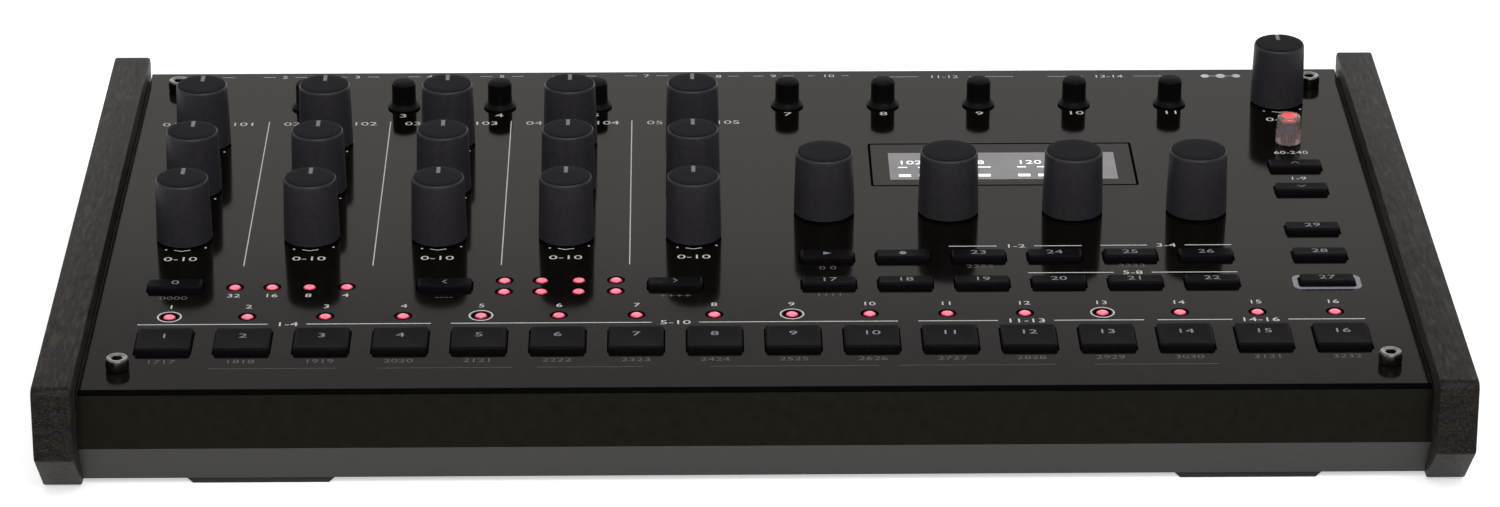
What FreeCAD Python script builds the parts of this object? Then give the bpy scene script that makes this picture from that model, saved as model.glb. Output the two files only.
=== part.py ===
import FreeCAD, Part
import math
import os

# Desktop drum machine with wooden end cheeks, in millimetres.
# +X runs to the player's right, +Y to the rear, +Z up. The origin is on the table, under the middle.
# What sits on the sloping panel is drawn flat, in panel coordinates: x across, y up the slope
# from the panel's front edge, z out of the panel from its outer face. on_panel() then tilts it.

Vector = FreeCAD.Vector

# Overall size
WIDTH = 436.0
DEPTH = 264.0
TILT = 3.0
PANEL_FRONT_Y = -120.1
PANEL_FRONT_Z = 34.8

# Cheeks, panel and case
CHEEK_T = 12.1
CHEEK_PROUD = 6.2
CHEEK_CORNER_R = 3.0
CHEEK_FRONT_DROP_Z = 17.1
CHEEK_BOTTOM_Z = 1.1
CHEEK_FRONT_FOOT_Y = -113.6
CHEEK_REAR_BEVEL = 9.0
SHEET = 1.5
PANEL_GAP = 0.65
PANEL_LENGTH = 250.0
FASCIA_DROP = 19.3
FASCIA_BEND_R = 1.4
CASE_BOTTOM_Z = 2.2
BAND_FOOT_Y = -111.2
CASE_REAR_Y = 126.0
CASE_HALF_W = WIDTH / 2 - CHEEK_T
FOOT_X = 151.6
FOOT_Y = (-103.0, 103.0)
FOOT_D = 14.0
FOOT_TOP_W = 46.4
FOOT_SOLE_W = 41.6
REAR_SCREW_X = (-120.0, 0.0, 120.0)
REAR_SCREW_Y = 121.0
PANEL_HALF_W = CASE_HALF_W - PANEL_GAP
PILLAR_INNER_X = 191.6

# Layout on the panel
STEP_PITCH = 24.27
STEP_KEY_V = 33.6
STEP_LAMP_V = 52.7
ROW_V = 74.4
ROW_PITCH = 20.1
LAMP_PITCH = 11.75
GRID_LAMP_SPREAD = 8.3
SIDE_X = 7.5 * STEP_PITCH
CHANNEL_X = -182.3
CHANNEL_PITCH = 41.0
CHANNEL_V = 111.8
CHANNEL_ROW_PITCH = 38.65
ENCODER_X = 24.3
ENCODER_PITCH = 40.5
ENCODER_V = 130.4
LEVEL_X = -182.0
LEVEL_PITCH = 32.7
LEVEL_V = 219.8
LEVEL_COUNT = 11
VOLUME_V = 221.5
TEMPO_V = 186.1
PAGE_DOWN_V = 145.9
PAGE_UP_V = 165.2
WINDOW_X = (40.8, 128.6)
WINDOW_V = (151.4, 186.1)
SCREW_X = 194.6
SCREW_V = (15.9, 235.4)

# Controls
KNOB_TOP_R = 8.5
KNOB_BASE_R = 9.0
KNOB_TOP = 21.7
ENCODER_TOP_R = 9.35
ENCODER_BASE_R = 9.9
ENCODER_TOP = 21.8
KNOB_LIFT = 0.6
KNOB_SIDES = 16
SHAFT_R = 3.0
SHAFT_FLATS = 2.2
SHAFT_HOLE_R = 3.6
LEVEL_SIDES = 12
LEVEL_R = 4.05
LEVEL_SKIRT_R = 5.6
LEVEL_SKIRT_TOP = 2.6
LEVEL_TOP = 9.3
TEMPO_R = 4.13
TEMPO_TOP = 9.9
KEY_RISE = 1.7
STEP_KEY = (17.1, 15.7)
SMALL_KEY = (17.2, 6.3)
KEY_BEVEL = 0.5
KEY_GAP = 0.45
KEY_TRAVEL = 0.8
KEY_FLANGE = 0.9
LAMP_R = 2.1
LAMP_HOLE_R = 2.45
HOLE_SIDES = 8
HIDDEN_HOLE_SIDES = 6

# Boards under the panel, given as heights in panel coordinates
BOARD_TOP = -9.0
BOARD_T = 1.6
POT_TOP = -3.0
STEM_SIDE = 3.0
STEM_END = -5.7
SWITCH_TOP = STEM_END - KEY_TRAVEL - 0.1

# Rear sockets: height of the jack board, and where each socket stands along X
JACK_BOARD_TOP_Z = 15.6
JACK_Z = 24.0
PHONE_JACK_X = [-184 + 25.0 * n for n in range(7)]
MINI_JACK_X = [-9.0, 10.0, 29.0]
DIN_X = [53.0, 85.0]
USB_HOST_X = 113.0
USB_DEVICE_X = 139.0
DC_X = 164.5
POWER_X = 186.0
PHONE_BORE_R = 3.25
PHONE_BUSH_R = 4.6
PHONE_NUT_R = 6.5
MINI_BORE_R = 1.8
MINI_BUSH_R = 3.0
MINI_NUT_R = 4.3
DIN_R = 7.5
DC_BORE_R = 3.0
DC_PIN_R = 1.0
POWER_R = 4.0


def box(x0, x1, y0, y1, z0, z1):
    return Part.makeBox(x1 - x0, y1 - y0, z1 - z0, Vector(x0, y0, z0))


def centred_box(x, y, width, depth, z0, z1):
    return box(x - width / 2, x + width / 2, y - depth / 2, y + depth / 2, z0, z1)


def post(x, y, radius, z0, z1):
    return Part.makeCylinder(radius, z1 - z0, Vector(x, y, z0))


def rod_along_y(x, y0, y1, z, radius):
    return Part.makeCylinder(radius, y1 - y0, Vector(x, y0, z), Vector(0, 1, 0))


def prism_along_x(outline, x0, x1):
    points = [Vector(x0, y, z) for y, z in outline]
    face = Part.Face(Part.makePolygon(points + points[:1]))
    return face.extrude(Vector(x1 - x0, 0, 0))


def ring_of_corners(x, y, z, radius, sides):
    """Closed wire with straight sides round a vertical axis. A side faces the front."""
    turn = 2 * math.pi / sides
    points = [Vector(x + radius * math.cos(turn * (n + 0.5)), y + radius * math.sin(turn * (n + 0.5)), z)
              for n in range(sides)]
    return Part.makePolygon(points + points[:1])


def prism(x, y, radius, sides, z0, z1):
    return Part.Face(ring_of_corners(x, y, z0, radius, sides)).extrude(Vector(0, 0, z1 - z0))


def prism_along_y(x, z, radius, sides, y0, y1):
    upright = prism(0, 0, radius, sides, 0, y1 - y0)
    upright.rotate(Vector(0, 0, 0), Vector(1, 0, 0), -90)
    return upright.translated(Vector(x, y0, z))


def tapered(x, y, levels, sides):
    """Solid with straight sides through (radius, height) levels, from the lowest up."""
    rings = [ring_of_corners(x, y, z, radius, sides).OrderedVertexes for radius, z in levels]
    rings = [[vertex.Point for vertex in ring] for ring in rings]
    faces = [Part.Face(Part.makePolygon(ring + ring[:1])) for ring in (rings[0], rings[-1])]
    for low, high in zip(rings, rings[1:]):
        for n in range(sides):
            after = (n + 1) % sides
            corners = [low[n], low[after], high[after], high[n], low[n]]
            faces.append(Part.Face(Part.makePolygon(corners)))
    solid = Part.Solid(Part.Shell(faces))
    return solid if solid.Volume > 0 else solid.reversed()


def on_panel(shape):
    tilted = shape.copy()
    tilted.rotate(Vector(0, 0, 0), Vector(1, 0, 0), TILT)
    tilted.translate(Vector(0, PANEL_FRONT_Y, PANEL_FRONT_Z))
    return tilted


def panel_z(y):
    """World height of the panel's outer face over world y."""
    return PANEL_FRONT_Z + (y - PANEL_FRONT_Y) * math.tan(math.radians(TILT))


def under_panel_z(y):
    return panel_z(y) - SHEET / math.cos(math.radians(TILT))


# Places of the repeated controls, as (x, v) on the panel

def step_x(index):
    return (index - 7.5) * STEP_PITCH


def step_key_places(first, last):
    return [(step_x(n), STEP_KEY_V) for n in range(first, last)]


def channel_places():
    return [(CHANNEL_X + CHANNEL_PITCH * column, CHANNEL_V + CHANNEL_ROW_PITCH * row)
            for column in range(5) for row in range(3)]


def encoder_places():
    return [(ENCODER_X + ENCODER_PITCH * n, ENCODER_V) for n in range(4)]


def level_places():
    return [(LEVEL_X + LEVEL_PITCH * n, LEVEL_V) for n in range(LEVEL_COUNT)]


def value_key_places():
    return [(-7.5 * STEP_PITCH, ROW_V), (-4 * STEP_PITCH, ROW_V), (-STEP_PITCH, ROW_V)]


def row_key_places(row):
    return [(STEP_PITCH * n, ROW_V + ROW_PITCH * row) for n in range(1, 7)]


def side_key_places():
    rows = [ROW_V + ROW_PITCH * n for n in range(3)] + [PAGE_DOWN_V, PAGE_UP_V]
    return [(SIDE_X, v) for v in rows]


def small_key_places():
    return value_key_places() + row_key_places(0) + row_key_places(1) + side_key_places()


def lamp_places():
    steps = [(step_x(n), STEP_LAMP_V) for n in range(16)]
    times = [(-6 * STEP_PITCH + LAMP_PITCH * (n - 1.5), ROW_V) for n in range(4)]
    grid = [(-2.5 * STEP_PITCH + LAMP_PITCH * (n - 1.5), ROW_V + side * GRID_LAMP_SPREAD / 2)
            for n in range(4) for side in (-1, 1)]
    return steps + times + grid


def screw_places():
    return [(side * SCREW_X, v) for side in (-1, 1) for v in SCREW_V]


def stud_places():
    return [(x, v) for x in (-168.0, 4.0, 170.0) for v in (10.0, 205.0)]


# Panel and case

def key_opening(x, v, size):
    return centred_box(x, v, size[0] + 2 * KEY_GAP, size[1] + 2 * KEY_GAP, -SHEET - 1, 1)


def make_top_panel():
    sheet = box(-PANEL_HALF_W, PANEL_HALF_W, 0, PANEL_LENGTH, -FASCIA_DROP, 0)
    front_edge = [edge for edge in sheet.Edges if edge.BoundBox.YMax < 0.01 and edge.BoundBox.ZMin > -0.01]
    sheet = sheet.makeFillet(FASCIA_BEND_R, front_edge)
    hollow = box(-PANEL_HALF_W - 1, PANEL_HALF_W + 1, SHEET, PANEL_LENGTH + 1, -FASCIA_DROP - 1, -SHEET)
    panel = sheet.cut(hollow)
    holes = [key_opening(x, v, STEP_KEY) for x, v in step_key_places(0, 16)]
    holes += [key_opening(x, v, SMALL_KEY) for x, v in small_key_places()]
    holes += [prism(x, v, LAMP_HOLE_R, HOLE_SIDES, -SHEET - 1, 1) for x, v in lamp_places()]
    turning = channel_places() + encoder_places() + level_places() + [(SIDE_X, VOLUME_V), (SIDE_X, TEMPO_V)]
    holes += [prism(x, v, SHAFT_HOLE_R, HIDDEN_HOLE_SIDES, -SHEET - 1, 1) for x, v in turning]
    holes += [prism(x, v, 2.3, HIDDEN_HOLE_SIDES, -SHEET - 1, 1) for x, v in screw_places()]
    holes.append(box(WINDOW_X[0], WINDOW_X[1], WINDOW_V[0], WINDOW_V[1], -SHEET - 1, 1))
    panel = panel.cut(Part.makeCompound(holes))
    studs = [prism(x, v, 2.2, 6, BOARD_TOP, -SHEET) for x, v in stud_places()]
    return on_panel(panel.fuse(studs).removeSplitter())


def case_outline():
    """Side view of the case below the panel: front flange, sloping band, floor and rear edge."""
    flange_y = PANEL_FRONT_Y + SHEET + 1.1
    band_top_z = PANEL_FRONT_Z - FASCIA_DROP - 0.1
    return [(PANEL_FRONT_Y + 1.0, band_top_z), (BAND_FOOT_Y, CASE_BOTTOM_Z), (CASE_REAR_Y, CASE_BOTTOM_Z),
            (CASE_REAR_Y, under_panel_z(CASE_REAR_Y)), (flange_y, under_panel_z(flange_y)),
            (flange_y, band_top_z)]


def jack_board_posts():
    return [(x, y) for x in (-184.0, 0.5, 184.0) for y in (93.0, 111.0)]


def cheek_screw_places():
    return [(-92.0, 20.0), (0.0, 24.0), (92.0, 28.0)]


def hexagon(y, z, radius):
    return [(y + radius * math.cos(math.radians(60 * n)), z + radius * math.sin(math.radians(60 * n)))
            for n in range(6)]


def make_base_tray():
    outer = prism_along_x(case_outline(), -CASE_HALF_W, CASE_HALF_W)
    front_in = PANEL_FRONT_Y + 2 * SHEET + 1.1
    band_top_z = PANEL_FRONT_Z - FASCIA_DROP - 0.1
    inner = [(front_in, band_top_z), (BAND_FOOT_Y + 1.0, CASE_BOTTOM_Z + SHEET), (DEPTH, CASE_BOTTOM_Z + SHEET),
             (DEPTH, 2 * PANEL_FRONT_Z), (front_in, 2 * PANEL_FRONT_Z)]
    tray = outer.cut(prism_along_x(inner, -CASE_HALF_W + SHEET, CASE_HALF_W - SHEET))
    pillars = []
    for x, v in screw_places():
        reach = sorted((math.copysign(PILLAR_INNER_X, x), math.copysign(CASE_HALF_W, x)))
        pillar = box(reach[0], reach[1], v - 4.5, v + 4.5, -60, -SHEET)
        pillars.append(on_panel(pillar).common(outer))
    post_top = JACK_BOARD_TOP_Z - BOARD_T
    pillars += [prism(x, y, 3.0, 6, CASE_BOTTOM_Z, post_top) for x, y in jack_board_posts()]
    tray = tray.fuse(pillars)
    holes = [on_panel(prism(x, v, 2.2, HIDDEN_HOLE_SIDES, -SHEET - 14, 0)) for x, v in screw_places()]
    for side in (-1, 1):
        wall = side * (CASE_HALF_W - SHEET / 2)
        holes += [prism_along_x(hexagon(y, z, 1.8), wall - 2, wall + 2) for y, z in cheek_screw_places()]
    holes += [prism(x, REAR_SCREW_Y, 1.8, 6, 0, 6) for x in REAR_SCREW_X]
    return tray.cut(Part.makeCompound(holes)).removeSplitter()


def make_cheek(side):
    x0 = CASE_HALF_W if side > 0 else -WIDTH / 2
    lift = CHEEK_PROUD / math.cos(math.radians(TILT))
    front, rear = -DEPTH / 2, DEPTH / 2
    outline = [(front, panel_z(front) + lift), (front, CHEEK_FRONT_DROP_Z),
               (CHEEK_FRONT_FOOT_Y, CHEEK_BOTTOM_Z), (rear - CHEEK_REAR_BEVEL, CHEEK_BOTTOM_Z),
               (rear, CHEEK_BOTTOM_Z + CHEEK_REAR_BEVEL), (rear, panel_z(rear) + lift)]
    cheek = prism_along_x(outline, x0, x0 + CHEEK_T)
    top_corners = [edge for edge in cheek.Edges
                   if edge.BoundBox.XLength > CHEEK_T - 0.1 and edge.BoundBox.ZMin > PANEL_FRONT_Z]
    cheek = cheek.makeFillet(CHEEK_CORNER_R, top_corners)
    inner_face = side * CASE_HALF_W
    reach = sorted((inner_face - side, inner_face + side * 9.0))
    pilots = [prism_along_x(hexagon(y, z, 1.5), reach[0], reach[1]) for y, z in cheek_screw_places()]
    return cheek.cut(Part.makeCompound(pilots))


def make_rear_panel():
    inner, outer = CASE_REAR_Y, CASE_REAR_Y + SHEET
    half_w = CASE_HALF_W - 0.1
    plate = box(-half_w, half_w, inner, outer, CASE_BOTTOM_Z, under_panel_z(inner) - 0.1)
    floor = CASE_BOTTOM_Z + SHEET
    flange = box(-190, 190, inner - 10, inner, floor, floor + SHEET)
    flange = flange.cut(Part.makeCompound([prism(x, REAR_SCREW_Y, 1.5, 6, 0, 9) for x in REAR_SCREW_X]))
    y0, y1 = inner - 1, outer + 1
    holes = [prism_along_y(x, JACK_Z, PHONE_BUSH_R + 0.2, HIDDEN_HOLE_SIDES, y0, y1) for x in PHONE_JACK_X]
    holes += [prism_along_y(x, JACK_Z, MINI_BUSH_R + 0.2, HIDDEN_HOLE_SIDES, y0, y1) for x in MINI_JACK_X]
    holes += [prism_along_y(x, JACK_Z, DIN_R + 0.15, KNOB_SIDES, y0, y1) for x in DIN_X]
    holes.append(centred_rear_box(USB_HOST_X, y0, y1, 14.4, 7.0))
    holes.append(centred_rear_box(USB_DEVICE_X, y0, y1, 12.4, 11.2))
    holes.append(centred_rear_box(DC_X, y0, y1, 9.4, 11.4))
    holes.append(prism_along_y(POWER_X, JACK_Z, POWER_R + 0.35, KNOB_SIDES, y0, y1))
    return plate.fuse(flange).cut(Part.makeCompound(holes)).removeSplitter()


def centred_rear_box(x, y0, y1, width, height):
    return box(x - width / 2, x + width / 2, y0, y1, JACK_Z - height / 2, JACK_Z + height / 2)


def make_foot(x, y):
    """Rubber pad under the floor, with bevelled ends."""
    front = y - FOOT_D / 2
    corners = [Vector(x - FOOT_TOP_W / 2, front, CASE_BOTTOM_Z), Vector(x - FOOT_SOLE_W / 2, front, 0),
               Vector(x + FOOT_SOLE_W / 2, front, 0), Vector(x + FOOT_TOP_W / 2, front, CASE_BOTTOM_Z)]
    return Part.Face(Part.makePolygon(corners + corners[:1])).extrude(Vector(0, FOOT_D, 0))


def make_feet():
    return Part.makeCompound([make_foot(side * FOOT_X, y) for side in (-1, 1) for y in FOOT_Y])


# Fasteners

def socket_screw(x, v):
    """Cap screw with a hexagon socket, standing on the panel."""
    head = tapered(x, v, [(3.5, 0), (3.5, 3.6), (3.1, 4.0)], LEVEL_SIDES)
    socket = prism(x, v, 1.73, 6, 2.0, 5.0)
    return head.cut(socket).fuse(prism(x, v, 2.0, HIDDEN_HOLE_SIDES, -12, 0)).removeSplitter()


def make_panel_screws():
    return Part.makeCompound([on_panel(socket_screw(x, v)) for x, v in screw_places()])


def make_case_screws():
    screws = []
    for side in (-1, 1):
        wall = side * (CASE_HALF_W - SHEET)
        for y, z in cheek_screw_places():
            head = sorted((wall - side * 2.0, wall))
            shank = sorted((wall, wall + side * 9.0))
            screws.append(prism_along_x(hexagon(y, z, 2.75), head[0], head[1]).fuse(
                prism_along_x(hexagon(y, z, 1.5), shank[0], shank[1])).removeSplitter())
    for x in REAR_SCREW_X:
        head = prism(x, REAR_SCREW_Y, 2.75, HOLE_SIDES, CASE_BOTTOM_Z - 1.6, CASE_BOTTOM_Z)
        shank = prism(x, REAR_SCREW_Y, 1.5, 6, CASE_BOTTOM_Z, CASE_BOTTOM_Z + 6)
        screws.append(head.fuse(shank).removeSplitter())
    return Part.makeCompound(screws)


# Knobs. Each turns in one piece with its shaft, which is round with two flats.

def make_shaft(x, v, top):
    shaft = post(x, v, SHAFT_R, POT_TOP + 0.1, top)
    return shaft.common(centred_box(x, v, SHAFT_FLATS, 2 * SHAFT_R, POT_TOP, top))


def make_knob(x, v):
    body = tapered(x, v, [(KNOB_BASE_R, KNOB_LIFT), (KNOB_TOP_R, KNOB_TOP)], KNOB_SIDES)
    return body.fuse(make_shaft(x, v, KNOB_LIFT)).removeSplitter()


def make_encoder_knob(x, v):
    body = tapered(x, v, [(ENCODER_BASE_R, KNOB_LIFT), (ENCODER_TOP_R, ENCODER_TOP)], KNOB_SIDES)
    return body.fuse(make_shaft(x, v, KNOB_LIFT)).removeSplitter()


def make_level_knob(x, v):
    levels = [(LEVEL_SKIRT_R, KNOB_LIFT / 2), (LEVEL_R, LEVEL_SKIRT_TOP), (LEVEL_R, LEVEL_TOP)]
    body = tapered(x, v, levels, LEVEL_SIDES)
    return body.fuse(make_shaft(x, v, KNOB_LIFT / 2)).removeSplitter()


def make_tempo_knob(x, v):
    levels = [(TEMPO_R, KNOB_LIFT / 2), (TEMPO_R, TEMPO_TOP - 0.9), (TEMPO_R - 0.9, TEMPO_TOP)]
    body = tapered(x, v, levels, LEVEL_SIDES)
    return body.fuse(make_shaft(x, v, KNOB_LIFT / 2)).removeSplitter()


# Keys: a cap through the panel, a flange that holds it in, and a stem into its switch

def make_key(x, v, size):
    cap = centred_box(x, v, size[0], size[1], -SHEET - 1.0, KEY_RISE)
    rim = [edge for edge in cap.Edges if edge.BoundBox.ZMin > KEY_RISE - 0.01]
    cap = cap.makeChamfer(KEY_BEVEL, rim)
    flange_z = -SHEET - 0.2
    flange = centred_box(x, v, size[0] + 2 * KEY_GAP + KEY_FLANGE, size[1] + 2 * KEY_GAP + KEY_FLANGE,
                         flange_z - 0.8, flange_z)
    stem = centred_box(x, v, STEM_SIDE, STEM_SIDE, STEM_END, flange_z)
    return on_panel(cap.fuse([flange, stem]).removeSplitter())


def make_keys(places, size):
    return Part.makeCompound([make_key(x, v, size) for x, v in places])


# Electronics

def make_control_board():
    board = box(-198, 198, 5, 243, BOARD_TOP - BOARD_T, BOARD_TOP)
    notches = [centred_box(x, v, 12, 12, -20, 0) for x, v in screw_places()]
    return on_panel(board.cut(Part.makeCompound(notches)))


def make_jack_board():
    return box(-190.6, 190.6, 88, 124, JACK_BOARD_TOP_Z - BOARD_T, JACK_BOARD_TOP_Z)


def make_potentiometers():
    full_size = channel_places() + [(SIDE_X, VOLUME_V)]
    slim = level_places() + [(SIDE_X, TEMPO_V)]
    bodies = [centred_box(x, v, 11.0, 12.0, BOARD_TOP, POT_TOP) for x, v in full_size]
    bodies += [centred_box(x, v, 9.8, 9.8, BOARD_TOP, POT_TOP) for x, v in slim]
    return Part.makeCompound([on_panel(body) for body in bodies])


def make_encoders():
    bodies = [centred_box(x, v, 12.4, 13.2, BOARD_TOP, POT_TOP) for x, v in encoder_places()]
    return Part.makeCompound([on_panel(body) for body in bodies])


def make_key_switches():
    switches = []
    for x, v in step_key_places(0, 16) + small_key_places():
        switches.append(on_panel(centred_box(x, v, 6.2, 6.2, BOARD_TOP, SWITCH_TOP)))
    power_body = box(POWER_X - 5, POWER_X + 4.6, 104, CASE_REAR_Y - 5.5, JACK_BOARD_TOP_Z, JACK_Z + 6)
    power_well = box(POWER_X - 1.7, POWER_X + 1.7, CASE_REAR_Y - 9.5, DEPTH, JACK_Z - 1.7, JACK_Z + 1.7)
    switches.append(power_body.cut(power_well))
    return Part.makeCompound(switches)


def make_status_lamps():
    lamps = [prism(x, v, LAMP_R, HOLE_SIDES, BOARD_TOP, 0.0) for x, v in lamp_places()]
    return Part.makeCompound([on_panel(lamp) for lamp in lamps])


def make_display_window():
    window = box(WINDOW_X[0] + 0.1, WINDOW_X[1] - 0.1, WINDOW_V[0] + 0.1, WINDOW_V[1] - 0.1, -SHEET, 0)
    return on_panel(window)


def make_display_module():
    x0, x1 = WINDOW_X
    v0, v1 = WINDOW_V
    frame = box(x0 + 2, x1 - 2, v0 + 1, v1 - 1, -5.5, -SHEET)
    base = box(x0 + 6, x1 - 6, v0 + 4, v1 - 4, BOARD_TOP, -5.5)
    return on_panel(frame.fuse(base).removeSplitter())


# Rear sockets, standing on the jack board and reaching through the rear panel

def make_phone_jack(x):
    body = box(x - 7, x + 7, 98, CASE_REAR_Y, JACK_BOARD_TOP_Z, JACK_Z + 8)
    bush = prism_along_y(x, JACK_Z, PHONE_BUSH_R, HIDDEN_HOLE_SIDES, CASE_REAR_Y, CASE_REAR_Y + SHEET)
    nut = prism_along_y(x, JACK_Z, PHONE_NUT_R, 6, CASE_REAR_Y + SHEET, CASE_REAR_Y + 3.5)
    bore = rod_along_y(x, 102, DEPTH / 2, JACK_Z, PHONE_BORE_R)
    return body.fuse([bush, nut]).removeSplitter().cut(bore)


def make_mini_jack(x):
    body = box(x - 5, x + 5, 112, CASE_REAR_Y, JACK_BOARD_TOP_Z, JACK_Z + 4)
    bush = prism_along_y(x, JACK_Z, MINI_BUSH_R, HIDDEN_HOLE_SIDES, CASE_REAR_Y, CASE_REAR_Y + SHEET)
    nut = prism_along_y(x, JACK_Z, MINI_NUT_R, 6, CASE_REAR_Y + SHEET, CASE_REAR_Y + 3.1)
    bore = rod_along_y(x, 114, DEPTH / 2, JACK_Z, MINI_BORE_R)
    return body.fuse([bush, nut]).removeSplitter().cut(bore)


def make_din_socket(x):
    """Round socket with five pin holes spread over its lower half."""
    body = box(x - 10, x + 10, 113, CASE_REAR_Y, JACK_BOARD_TOP_Z, JACK_Z + 9)
    face = prism_along_y(x, JACK_Z, DIN_R, KNOB_SIDES, CASE_REAR_Y, CASE_REAR_Y + SHEET)
    socket = body.fuse(face).removeSplitter()
    cuts = []
    for n in range(5):
        angle = math.radians(180 + 45 * n)
        cuts.append(prism_along_y(x + 3.75 * math.cos(angle), JACK_Z + 3.75 * math.sin(angle), 0.75, 6,
                                  CASE_REAR_Y - 6, DEPTH / 2))
    return socket.cut(Part.makeCompound(cuts))


def make_usb_host_socket():
    shell = centred_rear_box(USB_HOST_X, 112, CASE_REAR_Y + SHEET, 14.2, 6.8)
    mouth = centred_rear_box(USB_HOST_X, 116, DEPTH, 12.6, 5.2)
    tongue = box(USB_HOST_X - 5.6, USB_HOST_X + 5.6, 115, CASE_REAR_Y, JACK_Z + 0.6, JACK_Z + 2.0)
    legs = [box(USB_HOST_X + side * 5.6 - 1, USB_HOST_X + side * 5.6 + 1, 113, 121,
                JACK_BOARD_TOP_Z, JACK_Z - 3.2) for side in (-1, 1)]
    return shell.cut(mouth).fuse([tongue] + legs).removeSplitter()


def make_usb_device_socket():
    shell = centred_rear_box(USB_DEVICE_X, 110, CASE_REAR_Y + SHEET, 12.2, 11.0)
    mouth = centred_rear_box(USB_DEVICE_X, 114, DEPTH, 8.6, 7.8)
    tongue = box(USB_DEVICE_X - 2.8, USB_DEVICE_X + 2.8, 113, CASE_REAR_Y, JACK_Z - 1.6, JACK_Z + 1.6)
    legs = [box(USB_DEVICE_X + side * 5 - 1, USB_DEVICE_X + side * 5 + 1, 112, 122,
                JACK_BOARD_TOP_Z, JACK_Z - 5.2) for side in (-1, 1)]
    return shell.cut(mouth).fuse([tongue] + legs).removeSplitter()


def make_usb_sockets():
    return Part.makeCompound([make_usb_host_socket(), make_usb_device_socket()])


def make_dc_inlet():
    body = box(DC_X - 4.6, DC_X + 4.6, 113, CASE_REAR_Y + SHEET, JACK_BOARD_TOP_Z, JACK_Z + 5.6)
    body = body.cut(box(DC_X - 6, DC_X + 6, CASE_REAR_Y - 0.1, DEPTH, JACK_BOARD_TOP_Z - 1, JACK_Z - 5.6))
    mouth = prism_along_y(DC_X, JACK_Z, DC_BORE_R, LEVEL_SIDES, 117, DEPTH)
    pin = prism_along_y(DC_X, JACK_Z, DC_PIN_R, HIDDEN_HOLE_SIDES, 116, CASE_REAR_Y)
    return body.cut(mouth).fuse(pin).removeSplitter()


def make_power_button():
    """Push button with its plunger, which runs into a square switch on the jack board."""
    cap = prism_along_y(POWER_X, JACK_Z, POWER_R, KNOB_SIDES, CASE_REAR_Y - 2, CASE_REAR_Y + SHEET + 3.0)
    stem = box(POWER_X - 1.5, POWER_X + 1.5, CASE_REAR_Y - 7, CASE_REAR_Y - 2, JACK_Z - 1.5, JACK_Z + 1.5)
    return cap.fuse(stem).removeSplitter()


NODES = {
    "top_panel": make_top_panel(),
    "base_tray": make_base_tray(),
    "rear_panel": make_rear_panel(),
    "left_cheek": make_cheek(-1),
    "right_cheek": make_cheek(1),
    "rubber_feet": make_feet(),
    "panel_screws": make_panel_screws(),
    "case_screws": make_case_screws(),
    "control_board": make_control_board(),
    "jack_board": make_jack_board(),
    "potentiometers": make_potentiometers(),
    "encoders": make_encoders(),
    "key_switches": make_key_switches(),
    "status_lamps": make_status_lamps(),
    "display_window": make_display_window(),
    "display_module": make_display_module(),
    "phone_jacks": Part.makeCompound([make_phone_jack(x) for x in PHONE_JACK_X]),
    "mini_jacks": Part.makeCompound([make_mini_jack(x) for x in MINI_JACK_X]),
    "midi_sockets": Part.makeCompound([make_din_socket(x) for x in DIN_X]),
    "usb_sockets": make_usb_sockets(),
    "dc_inlet": make_dc_inlet(),
    "power_button": make_power_button(),
    "step_keys_left": make_keys(step_key_places(0, 8), STEP_KEY),
    "step_keys_right": make_keys(step_key_places(8, 16), STEP_KEY),
    "value_keys": make_keys(value_key_places(), SMALL_KEY),
    "pattern_keys": make_keys(row_key_places(0), SMALL_KEY),
    "transport_keys": make_keys(row_key_places(1), SMALL_KEY),
    "side_keys": make_keys(side_key_places(), SMALL_KEY),
    "volume_knob": on_panel(make_knob(SIDE_X, VOLUME_V)),
    "tempo_knob": on_panel(make_tempo_knob(SIDE_X, TEMPO_V)),
}

for number, place in enumerate(channel_places()):
    row_name = ("front", "middle", "rear")[number % 3]
    NODES["channel_%d_%s_knob" % (number // 3 + 1, row_name)] = on_panel(make_knob(*place))
for number, place in enumerate(encoder_places(), 1):
    NODES["menu_knob_%d" % number] = on_panel(make_encoder_knob(*place))
for number, place in enumerate(level_places(), 1):
    NODES["level_knob_%d" % number] = on_panel(make_level_knob(*place))

os.makedirs("parts", exist_ok=True)
for name, shape in NODES.items():
    shape.exportStep("parts/%s.step" % name)
print(len(NODES), "nodes")
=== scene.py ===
import math

import bpy
from mathutils import Matrix, Vector


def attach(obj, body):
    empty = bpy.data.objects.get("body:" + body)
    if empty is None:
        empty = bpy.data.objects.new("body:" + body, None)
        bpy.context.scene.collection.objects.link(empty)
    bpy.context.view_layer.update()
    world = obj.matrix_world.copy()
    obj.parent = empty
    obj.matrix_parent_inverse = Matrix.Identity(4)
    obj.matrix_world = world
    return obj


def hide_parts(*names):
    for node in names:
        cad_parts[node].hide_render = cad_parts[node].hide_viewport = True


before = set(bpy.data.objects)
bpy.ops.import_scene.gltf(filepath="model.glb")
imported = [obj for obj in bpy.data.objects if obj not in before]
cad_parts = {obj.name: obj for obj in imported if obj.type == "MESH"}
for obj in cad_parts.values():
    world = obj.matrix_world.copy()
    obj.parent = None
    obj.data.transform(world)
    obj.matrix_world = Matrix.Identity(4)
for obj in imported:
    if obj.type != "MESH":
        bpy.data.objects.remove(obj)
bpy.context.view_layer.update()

# Measures in millimetres. Panel coordinates are x across, v up the slope from the panel's
# front edge and h out of the panel, as in the construction.
MM = 0.001
TILT = 3.0
PANEL = Matrix.Translation((0.0, -0.1201, 0.0348)) @ Matrix.Rotation(math.radians(TILT), 4, "X")
WORLD = Matrix.Identity(4)

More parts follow.
